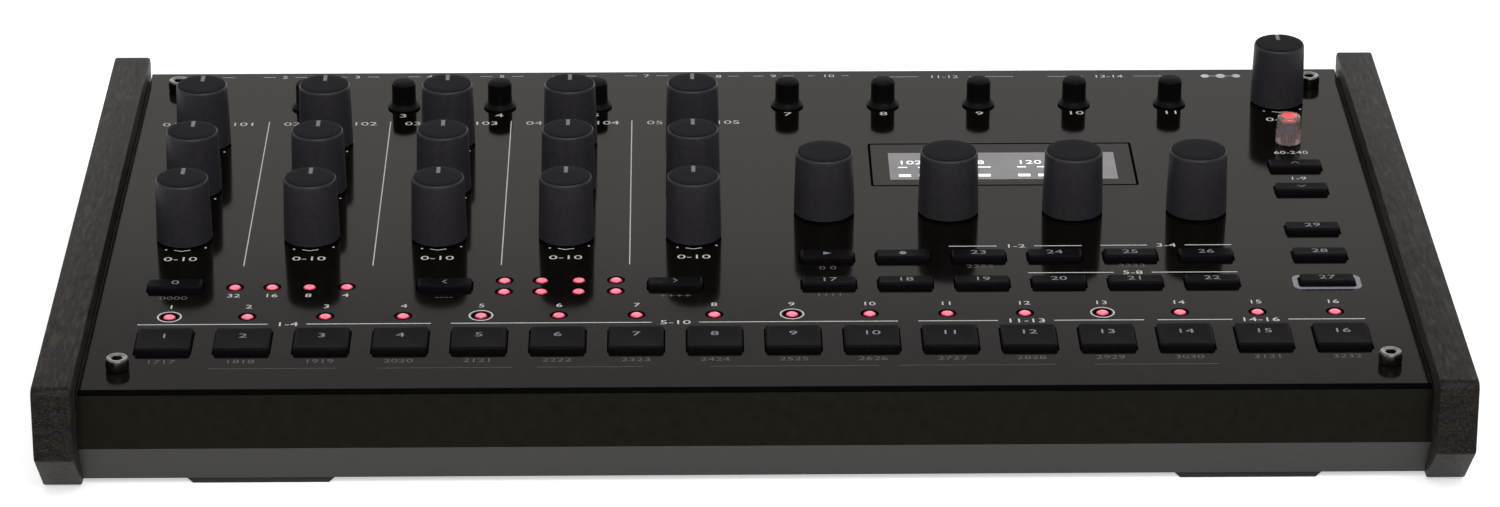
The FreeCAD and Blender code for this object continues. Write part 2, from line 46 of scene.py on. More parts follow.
# Panel: knobs, keys and lamps
PANEL_HALF_W = 205.4
STEP_PITCH = 24.27
SIDE_X = 7.5 * STEP_PITCH
STEP_KEY_V = 33.6
STEP_LAMP_V = 52.7
ROW_V = 74.4
ROW_PITCH = 20.1
LAMP_PITCH = 11.75
VOLUME_V = 221.5
TEMPO_V = 186.1
SCREW_PLACES = [(x, v) for x in (-194.6, 194.6) for v in (15.9, 235.4)]
WINDOW_X, WINDOW_V = 84.7, 168.75

CHANNELS = [(-182.3 + 41.0 * column, 111.8 + 38.65 * row, "channel_%d_%s_knob" % (column + 1, row_name))
            for column in range(5) for row, row_name in enumerate(("front", "middle", "rear"))]
VOLUME = (SIDE_X, VOLUME_V, "volume_knob")
MENU = [(24.3 + 40.5 * n, 130.4, "menu_knob_%d" % (n + 1)) for n in range(4)]
LEVELS = [(-182.0 + 32.7 * n, 219.8, "level_knob_%d" % (n + 1)) for n in range(11)]
STEPS = [((n - 7.5) * STEP_PITCH, STEP_KEY_V) for n in range(16)]

# Rear panel: sockets and power button, in world coordinates
REAR_Y = 127.5
JACK_Z = 24.0
BUTTON_X = 186.0
PHONE_X = [-184.0 + 25.0 * n for n in range(7)]
MINI_X = [-9.0, 10.0, 29.0]
DIN_X = [53.0, 85.0]


def tone(red, green, blue):
    """Linear colour from display values of 0 to 255."""
    def part(value):
        value /= 255
        return value / 12.92 if value <= 0.04045 else ((value + 0.055) / 1.055) ** 2.4
    return (part(red), part(green), part(blue), 1.0)


# Materials

def finish_of(name, dark, light, rough=(0.4, 0.5), scale=400, stretch=(1, 1, 1), bump=0.02, bump_scale=None,
              detail=3, sharp=(0.35, 0.65), ior=1.5, metallic=0.0, glow=None, glow_power=0.0, clear=0.0,
              mirror_tint=(1.0, 1.0, 1.0, 1.0)):
    """Principled material whose colour and roughness wander between two values with a noise.

    The studio is plain white to mirror rays, so the dark glosses have a low index of refraction.
    """
    material = bpy.data.materials.new(name)
    material.use_nodes = True
    tree = material.node_tree
    shader = tree.nodes["Principled BSDF"]
    where = tree.nodes.new("ShaderNodeTexCoord")
    mapping = tree.nodes.new("ShaderNodeMapping")
    mapping.inputs["Scale"].default_value = stretch
    tree.links.new(where.outputs["Object"], mapping.inputs["Vector"])
    noise = tree.nodes.new("ShaderNodeTexNoise")
    noise.inputs["Scale"].default_value = scale
    noise.inputs["Detail"].default_value = detail
    tree.links.new(mapping.outputs["Vector"], noise.inputs["Vector"])
    ramp = tree.nodes.new("ShaderNodeValToRGB")
    ramp.color_ramp.elements[0].position, ramp.color_ramp.elements[1].position = sharp
    ramp.color_ramp.elements[0].color = dark
    ramp.color_ramp.elements[1].color = light
    tree.links.new(noise.outputs["Fac"], ramp.inputs["Fac"])
    tree.links.new(ramp.outputs["Color"], shader.inputs["Base Color"])
    spread = tree.nodes.new("ShaderNodeMapRange")
    spread.inputs["To Min"].default_value, spread.inputs["To Max"].default_value = rough
    tree.links.new(noise.outputs["Fac"], spread.inputs["Value"])
    tree.links.new(spread.outputs["Result"], shader.inputs["Roughness"])
    if bump:
        grain = tree.nodes.new("ShaderNodeTexNoise")
        grain.inputs["Scale"].default_value = bump_scale or scale * 3
        tree.links.new(mapping.outputs["Vector"], grain.inputs["Vector"])
        relief = tree.nodes.new("ShaderNodeBump")
        relief.inputs["Strength"].default_value = bump
        relief.inputs["Distance"].default_value = 0.0002
        tree.links.new(grain.outputs["Fac"], relief.inputs["Height"])
        tree.links.new(relief.outputs["Normal"], shader.inputs["Normal"])
    shader.inputs["IOR"].default_value = ior
    shader.inputs["Metallic"].default_value = metallic
    shader.inputs["Transmission Weight"].default_value = clear
    shader.inputs["Specular Tint"].default_value = mirror_tint
    if glow:
        shader.inputs["Emission Color"].default_value = glow
        shader.inputs["Emission Strength"].default_value = glow_power
    return material


def wood_finish():
    """Black stained open grain: dark pores and light flecks drawn out along Y over an uneven stain."""
    material = finish_of("black_stained_wood", tone(18, 16, 13), tone(39, 35, 31), (0.38, 0.56), 240,
                         (1.4, 0.3, 2.8), 0.6, 560, 4, (0.3, 0.75), 1.17)
    tree = material.node_tree
    shader = tree.nodes["Principled BSDF"]
    ramp = next(node for node in tree.nodes if node.type == "VALTORGB")
    where = tree.nodes.new("ShaderNodeTexCoord")
    mapping = tree.nodes.new("ShaderNodeMapping")
    mapping.inputs["Scale"].default_value = (3.0, 0.3, 6.0)
    tree.links.new(where.outputs["Object"], mapping.inputs["Vector"])
    pores = tree.nodes.new("ShaderNodeTexNoise")
    pores.inputs["Scale"].default_value = 330
    pores.inputs["Detail"].default_value = 1.5
    tree.links.new(mapping.outputs["Vector"], pores.inputs["Vector"])
    last = ramp.outputs["Color"]
    for low, high, strength, colour in ((0.57, 0.62, 0.9, tone(8, 7, 6)),
                                        (0.42, 0.36, 0.4, tone(66, 61, 55))):
        cut = tree.nodes.new("ShaderNodeMapRange")
        cut.inputs["From Min"].default_value, cut.inputs["From Max"].default_value = low, high
        cut.inputs["To Max"].default_value = strength
        tree.links.new(pores.outputs["Fac"], cut.inputs["Value"])
        mix = tree.nodes.new("ShaderNodeMix")
        mix.data_type = "RGBA"
        tree.links.new(cut.outputs["Result"], mix.inputs["Factor"])
        tree.links.new(last, mix.inputs["A"])
        mix.inputs["B"].default_value = colour
        last = mix.outputs["Result"]
    tree.links.new(last, shader.inputs["Base Color"])
    return material


MAT = {
    "panel": finish_of("black_gloss_panel", tone(9, 7, 4), tone(12, 10, 6), (0.07, 0.13), 300, bump=0.01,
                       ior=1.13, mirror_tint=(1.0, 0.88, 0.76, 1.0)),
    # Near-black skin for the bend: a painted dark reflection along the fold
    "fold": finish_of("fold_painted_dark_reflection", tone(4, 4, 4), tone(7, 6, 5), (0.3, 0.4), 300, bump=0.01, ior=1.03),
    # Lighter, warmer copy of the panel's black paint: painted light on the fascia's front face, also used on
    # the rear panel
    "fascia": finish_of("black_paint_lit_copy", tone(22, 19, 13), tone(26, 23, 16), (0.12, 0.2), 300, bump=0.01,
                        ior=1.12),
    "case": finish_of("grey_painted_steel", tone(44, 43, 38), tone(51, 50, 45), (0.4, 0.55), 900, bump=0.08,
                      ior=1.35),
    "rubber": finish_of("black_rubber", tone(18, 18, 18), tone(26, 26, 26), (0.75, 0.9), 700, bump=0.2),
    "wood": wood_finish(),
    "steel": finish_of("dark_steel", tone(62, 60, 58), tone(88, 86, 84), (0.18, 0.28), 500, bump=0.03,
                       metallic=1.0),
    # Lighter copy of the dark steel for the faces that look up: a painted highlight on the screw tops
    "steel_top_highlight": finish_of("dark_steel_painted_highlight", tone(104, 102, 99), tone(130, 128, 125), (0.14, 0.24), 500,
                           bump=0.03, metallic=1.0),
    "nickel": finish_of("nickel_plate", tone(150, 148, 144), tone(176, 172, 168), (0.2, 0.32), 500, bump=0.03,
                        metallic=1.0),
    "knob": finish_of("knob_soft_black", tone(41, 39, 44), tone(47, 45, 50), (0.34, 0.42), 700, bump=0.08,
                      bump_scale=3500, ior=1.24),
    # Darker copy of the knob finish for the faces that look up: painted shade on the knob tops
    "knob_top_shade": finish_of("knob_top_painted_shade", tone(22, 22, 27), tone(28, 28, 33), (0.4, 0.5), 700, bump=0.06,
                          bump_scale=3500, ior=1.06),
    "key": finish_of("key_black", tone(13, 11, 14), tone(18, 16, 19), (0.26, 0.36), 700, bump=0.06,
                     bump_scale=3000, ior=1.06),
    "slim": finish_of("slim_knob_black", tone(7, 7, 7), tone(11, 11, 11), (0.36, 0.46), 700, bump=0.05,
                      ior=1.12),
    "slim_top": finish_of("slim_knob_top", tone(20, 20, 21), tone(26, 26, 27), (0.4, 0.5), 700, bump=0.05,
                          ior=1.06),
    "inlay": finish_of("pointer_inlay", tone(120, 120, 122), tone(134, 134, 136), (0.5, 0.6), 900, bump=0.02,
                       ior=1.2),
    "mark": finish_of("white_print", tone(204, 204, 202), tone(220, 220, 218), (0.5, 0.6), 900, bump=0.02),
    "dim": finish_of("grey_print", tone(66, 64, 62), tone(78, 76, 74), (0.5, 0.6), 900, bump=0.02),
    "legend": finish_of("key_legend", tone(120, 120, 132), tone(140, 140, 152), (0.5, 0.6), 900, bump=0.02),
    "lamp": finish_of("lit_lamp", tone(235, 96, 120), tone(255, 130, 150), (0.2, 0.3), 900, bump=0.02,
                      glow=tone(255, 118, 142), glow_power=0.5),
    "lamp_edge": finish_of("lit_lamp_edge", tone(150, 20, 44), tone(176, 34, 60), (0.2, 0.3), 900, bump=0.02,
                           glow=tone(200, 40, 74), glow_power=0.45),
    # Near-black sheet for gaps and holes: painted shade
    "hole": finish_of("gap_painted_shade", tone(3, 3, 3), tone(6, 6, 6), (0.8, 0.9), 900, bump=0.02, ior=1.02),
    "glass": finish_of("window_gloss", tone(12, 10, 7), tone(16, 14, 10), (0.05, 0.09), 400, bump=0.004,
                       ior=1.13, mirror_tint=(1.0, 0.94, 0.88, 1.0)),
    "lit": finish_of("lit_screen", tone(100, 100, 104), tone(112, 112, 116), (0.12, 0.2), 120, bump=0.01,
                     glow=tone(118, 118, 122), glow_power=0.3, ior=1.3),
    "segment": finish_of("lit_segment", tone(235, 235, 240), tone(250, 250, 255), (0.3, 0.4), 900, bump=0.01,
                         glow=tone(255, 255, 255), glow_power=0.9),
    "socket": finish_of("socket_plastic", tone(16, 16, 16), tone(23, 23, 23), (0.4, 0.5), 800, bump=0.05),
    "board": finish_of("green_board", tone(10, 46, 30), tone(16, 60, 40), (0.4, 0.5), 200, bump=0.03),
    "part": finish_of("grey_component", tone(74, 76, 80), tone(92, 94, 98), (0.3, 0.45), 600, bump=0.03),
    "clear": finish_of("clear_acrylic", tone(226, 208, 206), tone(236, 220, 218), (0.08, 0.14), 500, bump=0.0,
                       ior=1.42, clear=0.86),
    "red_core": finish_of("lit_red_core", tone(205, 62, 66), tone(226, 82, 84), (0.3, 0.4), 900, bump=0.02,
                          glow=tone(226, 76, 80), glow_power=0.4),
}


# Mesh building. A shape is a pair of lists: points in millimetres and faces.

# Faces that look up more than this take a piece's `top` finish, a tone copy that paints light or shade
TOP_FACING = 0.75
NUMERAL_H = 0.7


def joined(shapes):
    points, faces = [], []
    for more_points, more_faces in shapes:
        start = len(points)
        points += more_points
        faces += [tuple(index + start for index in face) for face in more_faces]
    return points, faces


def piece(name, shapes, material, body, where=PANEL, smooth_deg=38.0, replaces=(), top=None):
    """One visible object. Its faces that look out of the panel have the finish `top`, if given, a copy of the
    finish in another tone that paints light or shade on those faces.
    """
    points, faces = joined(shapes)
    mesh = bpy.data.meshes.new(name)
    mesh.from_pydata([where @ (Vector(point) * MM) for point in points], [], faces)
    mesh.materials.append(MAT[material])
    mesh.polygons.foreach_set("use_smooth", [True] * len(mesh.polygons))
    mesh.set_sharp_from_angle(angle=math.radians(smooth_deg))
    mesh.update()
    if top:
        mesh.materials.append(MAT[top])
        upward = where.to_3x3() @ Vector((0, 0, 1))
        for polygon in mesh.polygons:
            polygon.material_index = int(polygon.normal.dot(upward) > TOP_FACING)
    made = bpy.data.objects.new(name, mesh)
    bpy.context.scene.collection.objects.link(made)
    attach(made, body)
    if replaces:
        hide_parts(*replaces)


def loft(loops, capped=(True, True)):
    """Skin over loops with the same number of points, counter-clockwise seen from the last one."""
    count = len(loops[0])
    points = [point for loop in loops for point in loop]
    faces = []
    for row in range(len(loops) - 1):
        low, high = row * count, (row + 1) * count
        for n in range(count):
            after = (n + 1) % count
            faces.append((low + n, low + after, high + after, high + n))
    if capped[0]:
        faces.append(tuple(range(count - 1, -1, -1)))
    if capped[1]:
        faces.append(tuple(range((len(loops) - 1) * count, len(loops) * count)))
    return points, faces


def flipped(shape):
    """The same shape with its faces turned over."""
    points, faces = shape
    return points, [tuple(reversed(face)) for face in faces]


def turns(count):
    return [2 * math.pi * n / count for n in range(count)]


def circle(x, v, radius, h, count=48):
    return [(x + radius * math.cos(turn), v + radius * math.sin(turn), h) for turn in turns(count)]


def rear_circle(x, z, radius, y, count=48):
    """Circle round an axis along Y."""
    return [(x + radius * math.cos(turn), y, z + radius * math.sin(turn)) for turn in turns(count)]


def hexagon_reach(radius, turn):
    """Distance from the middle of a hexagon to its outline. Its corners lie at the radius."""
    return radius * math.cos(math.pi / 6) / math.cos((turn % (math.pi / 3)) - math.pi / 6)


def turned(x, v, levels, count=48, capped=(True, True)):
    """Turned shape from (radius, height) levels."""
    return loft([circle(x, v, radius, h, count) for radius, h in levels], capped)


def rounded_loop(x, v, width, depth, corner, h, inset=0.0, steps=4):
    half_w, half_d = width / 2 - inset, depth / 2 - inset
    radius = max(corner - inset, 0.05)
    loop = []
    for quarter, (side_x, side_v) in enumerate(((1, 1), (-1, 1), (-1, -1), (1, -1))):
        for step in range(steps + 1):
            turn = math.radians(90 * quarter + 90 * step / steps)
            loop.append((x + side_x * (half_w - radius) + radius * math.cos(turn),
                         v + side_v * (half_d - radius) + radius * math.sin(turn), h))
    return loop


def pad(x, v, width, depth, corner, levels):
    """Block with rounded corners, from (inset, height) levels."""
    return loft([rounded_loop(x, v, width, depth, corner, h, inset) for inset, h in levels])


def bar(x0, x1, v0, v1, h):
    """Flat rectangle."""
    return [(x0, v0, h), (x1, v0, h), (x1, v1, h), (x0, v1, h)], [(0, 1, 2, 3)]


def band(outer, inner):
    """Flat strip between two loops."""
    count = len(outer)
    faces = [(n, (n + 1) % count, count + (n + 1) % count, count + n) for n in range(count)]
    return outer + inner, faces


def line(x0, v0, x1, v1, width, h):
    """Flat line between two points."""
    length = math.hypot(x1 - x0, v1 - v0)
    off_x, off_v = -(v1 - v0) / length * width / 2, (x1 - x0) / length * width / 2
    points = [(x0 - off_x, v0 - off_v, h), (x1 - off_x, v1 - off_v, h),
              (x1 + off_x, v1 + off_v, h), (x0 + off_x, v0 + off_v, h)]
    return points, [(0, 1, 2, 3)]


def number(text, x, v, size, h, wide=1.35):
    """Plain numerals as a flat shape, centred on (x, v). Size is the height of a numeral."""
    curve = bpy.data.curves.new("numerals", "FONT")
    curve.body = text
    curve.align_x = "CENTER"
    curve.resolution_u = 3
    holder = bpy.data.objects.new("numerals", curve)
    bpy.context.scene.collection.objects.link(holder)
    bpy.context.view_layer.update()
    mesh = bpy.data.meshes.new_from_object(holder)
    scale = size / NUMERAL_H
    points = [(x + p.co.x * scale * wide, v + (p.co.y - NUMERAL_H / 2) * scale, h) for p in mesh.vertices]
    faces = [tuple(face.vertices) for face in mesh.polygons]
    bpy.data.objects.remove(holder)
    bpy.data.curves.remove(curve)
    bpy.data.meshes.remove(mesh)
    return points, faces


# Construction nodes that show as they are

SHOWN_NODES = (
    ("top_panel", "panel", "panel"),
    ("base_tray", "case", "case_metal"),
    ("rear_panel", "fascia", "case_metal"),
    ("rubber_feet", "rubber", "rubber"),
    ("case_screws", "steel", "screw"),
    ("control_board", "board", "board"),
    ("jack_board", "board", "board"),
    ("potentiometers", "part", "component"),
    ("encoders", "part", "component"),
    ("key_switches", "part", "component"),
    ("display_module", "part", "component"),
    ("phone_jacks", "socket", "socket"),
    ("mini_jacks", "socket", "socket"),
    ("midi_sockets", "socket", "socket"),
    ("usb_sockets", "nickel", "plating"),
    ("dc_inlet", "socket", "socket"),
)
for node, material, slot in SHOWN_NODES:
    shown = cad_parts[node]
    shown.data.materials.clear()
    shown.data.materials.append(MAT[material])


# Thin skins on the front: a painted dark reflection, deepest black, along the fold, and painted light on the
# fascia below it, as a warmer, duller and lighter copy of the panel's black paint

SKIN = 0.03
FOLD_R = 1.4
FASCIA_DROP = 19.3

fold_arc = []
for degrees in range(96, 181, 12):
    turn = math.radians(degrees)
    fold_arc.append((FOLD_R + (FOLD_R + SKIN) * math.cos(turn), -FOLD_R + (FOLD_R + SKIN) * math.sin(turn)))
fold_points = [(x, v, h) for v, h in fold_arc for x in (-PANEL_HALF_W, PANEL_HALF_W)]
fold_faces = [(2 * n, 2 * n + 2, 2 * n + 3, 2 * n + 1) for n in range(len(fold_arc) - 1)]
# Painted dark reflection along the bend of the fold
piece("fold_edge", [(fold_points, fold_faces)], "fold", "case")
# Painted light: the fascia skin is the lighter copy of the panel's black paint
fascia_points = [(x, -SKIN, h) for h in (-FOLD_R, -FASCIA_DROP) for x in (-PANEL_HALF_W, PANEL_HALF_W)]
piece("fascia_paint", [(fascia_points, [(0, 2, 3, 1)])], "fascia", "case")


# Wooden cheeks. Their outline is in the side view: y and z in world coordinates.

CHEEK_INNER, CHEEK_OUTER = 205.9, 218.0
CHEEK_FRONT, CHEEK_REAR = -132.0, 132.0
CHEEK_ABOVE_PANEL = 6.2
CHEEK_EASE = 0.7


def round_corners(outline, radii, steps=5):
    """Outline points with each corner rounded. Points run counter-clockwise."""
    result = []
    count = len(outline)
    for n, radius in enumerate(radii):
        corner = Vector(outline[n])
        to_last = (Vector(outline[n - 1]) - corner).normalized()
        to_next = (Vector(outline[(n + 1) % count]) - corner).normalized()
        half = to_last.angle(to_next) / 2
        reach = radius / math.tan(half)
        centre = corner + (to_last + to_next).normalized() * radius / math.sin(half)
        start, end = corner + to_last * reach - centre, corner + to_next * reach - centre
        for step in range(steps + 1):
            share = step / steps
            spoke = (start * (1 - share) + end * share).normalized() * radius
            result.append(centre + spoke)
    return result


def moved_in(loop, amount):
    """Outline points moved inward, at right angles to the outline."""
    moved = []
    count = len(loop)
    for n in range(count):
        along = (loop[(n + 1) % count] - loop[n - 1]).normalized()
        moved.append(loop[n] + Vector((-along.y, along.x)) * amount)
    return moved


def panel_z(y):
    """Height of the panel's surface above the floor."""
    return 34.8 + (y + 120.1) * math.tan(math.radians(TILT))


def cheek(side):
    lift = CHEEK_ABOVE_PANEL / math.cos(math.radians(TILT))
    outline = [(CHEEK_FRONT, panel_z(CHEEK_FRONT) + lift), (CHEEK_FRONT, 17.1), (-113.6, 1.1), (123.0, 1.1),
               (CHEEK_REAR, 10.1), (CHEEK_REAR, panel_z(CHEEK_REAR) + lift)]
    loop = round_corners(outline, (3.0, 1.6, 1.2, 1.2, 1.2, 3.0))
    inner, outer = side * CHEEK_INNER, side * CHEEK_OUTER
    levels = []
    for share in (0.0, 0.5, 1.0):
        turn = share * math.pi / 2
        levels.append((CHEEK_EASE * (1 - math.sin(turn)), CHEEK_EASE * (1 - math.cos(turn))))
    loops = []
    for inset, off in levels:
        loops.append([(inner + side * off, p.x, p.y) for p in moved_in(loop, inset)])
    for inset, off in reversed(levels):
        loops.append([(outer - side * off, p.x, p.y) for p in moved_in(loop, inset)])
    shape = loft(loops)
    return flipped(shape) if side < 0 else shape


for side, label in ((-1, "left"), (1, "right")):
    piece("wood_cheek_" + label, [cheek(side)], "wood", "case", WORLD, 25, (label + "_cheek",))


# Knobs

def rim(radius, top, ease, steps=4):
    """Levels of a rounded edge, from the side up to the top."""
    levels = []
    for step in range(steps + 1):
        turn = math.pi / 2 * step / steps
        levels.append((radius - ease * (1 - math.cos(turn)), top - ease * (1 - math.sin(turn))))
    return levels


INLAY_HALF_W = 0.62
GROOVE_HALF_W = 0.65
GROOVE_DEPTH = 0.3


GROOVE_INNER_R = 2.5
GROOVE_TURN = 450.0     # Straight to the rear, at the end of the loop


def knob_loop(x, v, radius, h, top, groove):
    """Round loop with a shallow pointer groove of even width, from near the middle to the far side."""
    half = math.degrees(math.asin(min(GROOVE_HALF_W / radius, 0.25)))
    spots = [108.0 + 6 * n for n in range(55)]
    spots += [GROOVE_TURN + off for off in (-half - 1.5, -half, 0.0, half, half + 1.5)]
    loop = []
    for degrees in spots:
        turn = math.radians(degrees)
        sunk = groove and radius > GROOVE_INNER_R and abs(degrees - GROOVE_TURN) <= half + 0.01
        height = min(h, top - GROOVE_DEPTH) if sunk else h
        loop.append((x + radius * math.cos(turn), v + radius * math.sin(turn), height))
    return loop


def big_knob(x, v, base, top_radius, top, groove):
    levels = [(base - 0.5, 0.6), (base, 0.85), (base + (top_radius - base) * 0.5, top * 0.55)]
    levels += rim(top_radius, top, 1.1, 5) + [(5.0, top), (2.7, top), (2.4, top), (0.3, top)]
    return loft([knob_loop(x, v, radius, h, top, groove) for radius, h in levels])


# Knob tops take the darker copy of the knob finish: painted shade
for x, v, node in CHANNELS + [VOLUME]:
    piece(node + "_grip", [big_knob(x, v, 9.0, 8.5, 21.7, True)], "knob", node, replaces=(node,),
          top="knob_top_shade")
    inlay = [(x + off, v + along, h) for along, h in ((2.6, 21.5), (7.6, 21.5), (8.35, 21.18))
             for off in (-INLAY_HALF_W, INLAY_HALF_W)]
    piece(node + "_line", [(inlay, [(0, 1, 3, 2), (2, 3, 5, 4)])], "inlay", node)
# The menu knobs' tops take the same painted shade
for x, v, node in MENU:
    piece(node + "_grip", [big_knob(x, v, 9.9, 9.35, 21.8, False)], "knob", node, replaces=(node,),
          top="knob_top_shade")
for x, v, node in LEVELS:
    skirt = [(3.0, 0.3), (5.5, 0.3), (5.55, 0.6), (4.9, 1.1), (4.3, 1.7), (4.1, 2.4), (4.05, 5.0),
             (4.05, 8.4)]
    piece(node + "_grip", [turned(x, v, skirt + rim(4.02, 9.1, 0.3))], "slim", node,
          replaces=(node,))
    cap = [(3.5, 9.0), (3.5, 9.2), (3.35, 9.3), (0.2, 9.3)]
    piece(node + "_cap", [turned(x, v, cap)], "slim_top", node)

ribs = [pad(SIDE_X + 4.0 * math.cos(math.radians(15 * n)), TEMPO_V + 4.0 * math.sin(math.radians(15 * n)),
            0.45, 0.45, 0.1, [(0, 0.4), (0, 4.6)]) for n in range(24)]
tempo_shell = turned(SIDE_X, TEMPO_V, [(3.9, 0.3), (3.95, 4.6), (3.95, 8.6)] + rim(3.9, 9.9, 0.9)
                     + [(2.85, 9.9), (2.8, 9.6), (2.8, 8.0), (0.2, 8.0)])
piece("tempo_knob_shell", [tempo_shell] + ribs, "clear", "tempo_knob", replaces=("tempo_knob",))
core = [(2.6, 8.2), (2.75, 9.5), (2.7, 9.86), (2.5, 9.94), (0.2, 9.94)]
piece("tempo_knob_core", [turned(SIDE_X, TEMPO_V, core)],
      "red_core", "tempo_knob")
piece("tempo_knob_stem", [turned(SIDE_X, TEMPO_V, [(1.6, 0.4), (1.6, 7.0), (0.2, 7.1)], 24)],
      "part", "tempo_knob")


# Keys and their legends

def key_cap(x, v, width, depth):
    levels = [(0.0, -2.5), (0.0, 0.9), (0.05, 1.2), (0.18, 1.45), (0.4, 1.64), (0.7, 1.7), (1.4, 1.66)]
    return pad(x, v, width, depth, 0.9, levels)


STEP_KEY = (17.1, 15.7)
SMALL_KEY = (17.2, 6.3)
LEGEND_H = 1.72


def small_numbers(places, first):
    return [number(str(n), x, v + 0.3, 2.7, LEGEND_H, 1.4) for n, (x, v) in enumerate(places, first)]


def arrow(x, v, size, turn_deg):
    """Chevron whose point looks along +x before it is turned."""
    turn = math.radians(turn_deg)
    corners = [(-0.5, 1.0), (0.5, 0.0), (-0.5, -1.0)]
    spots = [(x + size * (a * math.cos(turn) - b * math.sin(turn)),
              v + size * (a * math.sin(turn) + b * math.cos(turn))) for a, b in corners]
    return joined([line(*spots[0], *spots[1], 0.3, LEGEND_H), line(*spots[1], *spots[2], 0.3, LEGEND_H)])


def small_row(row):
    return [(STEP_PITCH * n, ROW_V + ROW_PITCH * row) for n in range(1, 7)]


step_legends = [number(str(n + 1), x, v + 1.9, 2.9, LEGEND_H, 1.4) for n, (x, v) in enumerate(STEPS)]
value_places = [(-7.5 * STEP_PITCH, ROW_V), (-4 * STEP_PITCH, ROW_V), (-STEP_PITCH, ROW_V)]
side_places = [(SIDE_X, ROW_V), (SIDE_X, ROW_V + ROW_PITCH), (SIDE_X, ROW_V + 2 * ROW_PITCH),
               (SIDE_X, 145.9), (SIDE_X, 165.2)]
transport = small_row(1)
(start_x, start_v), record_place = transport[:2]
start_sign = ([(start_x - 1.2, start_v - 1.1, LEGEND_H), (start_x + 1.4, start_v, LEGEND_H),
               (start_x - 1.2, start_v + 1.1, LEGEND_H)], [(0, 1, 2)])
record_sign = (circle(*record_place, 1.15, LEGEND_H, 24), [tuple(range(24))])
KEY_SETS = {
    "step_keys_left": (STEPS[:8], STEP_KEY, step_legends[:8]),
    "step_keys_right": (STEPS[8:], STEP_KEY, step_legends[8:]),
    "value_keys": (value_places, SMALL_KEY,
                   [number("0", value_places[0][0], ROW_V + 0.4, 2.7, LEGEND_H, 1.4),
                    arrow(*value_places[1], 1.3, 180), arrow(*value_places[2], 1.3, 0)]),
    "pattern_keys": (small_row(0), SMALL_KEY, small_numbers(small_row(0), 17)),
    "transport_keys": (transport, SMALL_KEY, [start_sign, record_sign] + small_numbers(transport[2:], 23)),
    "side_keys": (side_places, SMALL_KEY,
                  small_numbers(side_places[:3], 27)
                  + [arrow(*side_places[3], 1.3, -90), arrow(*side_places[4], 1.3, 90)]),
}
for node, (places, size, legends) in KEY_SETS.items():
    piece(node + "_caps", [key_cap(x, v, *size) for x, v in places], "key", node, replaces=(node,))
    piece(node + "_legends", legends, "legend", node)


# Lamps: a dark ring of painted shade round each hole, a darker edge in it and a low dome on top

times = [(-6 * STEP_PITCH + LAMP_PITCH * (n - 1.5), ROW_V) for n in range(4)]
grid = [(-2.5 * STEP_PITCH + LAMP_PITCH * (n - 1.5), ROW_V + off) for n in range(4) for off in (-4.15, 4.15)]
lamps = [(x, STEP_LAMP_V) for x, _ in STEPS] + times + grid
domes, edges, shade_rings = [], [], []
for x, v in lamps:
    domes.append(turned(x, v, [(1.6, 0.08), (1.55, 0.16), (1.3, 0.31), (0.85, 0.43), (0.1, 0.48)], 32))
    edges.append(turned(x, v, [(2.0, -1.4), (2.0, -0.3), (1.93, -0.08), (1.75, 0.08), (1.5, 0.12)], 32))
    shade_rings.append(turned(x, v, [(2.9, -0.2), (2.9, 0.015), (2.82, 0.03), (2.2, 0.02), (2.1, -0.9)], 40,
                       (False, False)))
piece("lamp_domes", domes, "lamp", "case", replaces=("status_lamps",))
piece("lamp_edges", edges, "lamp_edge", "case")
piece("lamp_hole_shade_rings", shade_rings, "hole", "case")


# Display window: gloss cover, lit area and plain numerals

WINDOW_SIZE = (87.0, 33.9, 0.6)
GAP_SIZE = (88.5, 35.4, 1.0)
SCREEN = (47.0, 122.5, 156.3, 178.4)
SCREEN_H = 0.02
SEGMENT_H = 0.04

cover = pad(WINDOW_X, WINDOW_V, *WINDOW_SIZE, [(0, -1.4), (0, -0.1), (0.15, 0.0)])
piece("display_cover", [cover], "glass", "case",
      smooth_deg=8, replaces=("display_window",))
# A flat dark band over the gap round the cover: painted shade
window_gap = band(rounded_loop(WINDOW_X, WINDOW_V, *GAP_SIZE, SCREEN_H),
                  rounded_loop(WINDOW_X, WINDOW_V, *WINDOW_SIZE, SCREEN_H))
piece("display_gap", [window_gap], "hole", "case")
piece("display_screen", [bar(*SCREEN, SCREEN_H)], "lit", "case")
segments = []
for x, text in ((55.5, "1024"), (74.0, "16 8"), (96.0, "120 4")):
    segments.append(number(text, x, 170.4, 3.0, SEGMENT_H, 1.3))
for n in range(8):
    x = 50.0 + 6.6 * n
    if n != 5:
        segments.append(bar(x, x + (4.4 if n % 3 else 3.0), 166.0, 166.7, SEGMENT_H))
        segments.append(bar(x, x + 4.0, 158.6, 160.6, SEGMENT_H))
piece("display_segments", segments, "segment", "case")


# Cap screws

def socket_screw(x, v):
    def six_sided(radius, h):
        reaches = [(turn, hexagon_reach(radius, turn)) for turn in turns(48)]
        return [(x + reach * math.cos(turn), v + reach * math.sin(turn), h) for turn, reach in reaches]

    loops = [circle(x, v, radius, h) for radius, h in
             [(3.3, 0.0), (3.48, 0.2), (3.5, 0.5), (3.5, 3.45), (3.42, 3.7), (3.2, 3.9), (2.95, 4.0),
              (2.3, 4.0), (2.05, 3.85)]]
    loops += [six_sided(1.8, 3.7), six_sided(1.73, 3.5), six_sided(1.73, 2.0)]
    return loft(loops)


knurls = []
for x, v in SCREW_PLACES:
    for n in range(36):
        turn = math.radians(10 * n)
        knurls.append(pad(x + 3.45 * math.cos(turn), v + 3.45 * math.sin(turn), 0.3, 0.3, 0.08,
                          [(0, 0.6), (0, 3.2)]))
# The screws' upward faces take the lighter copy of the steel: a painted highlight
piece("cap_screws", [socket_screw(x, v) for x, v in SCREW_PLACES] + knurls, "steel", "case",
      replaces=("panel_screws",), top="steel_top_highlight")


# Print on the panel: plain numbers, lines and dots at the height of the ink

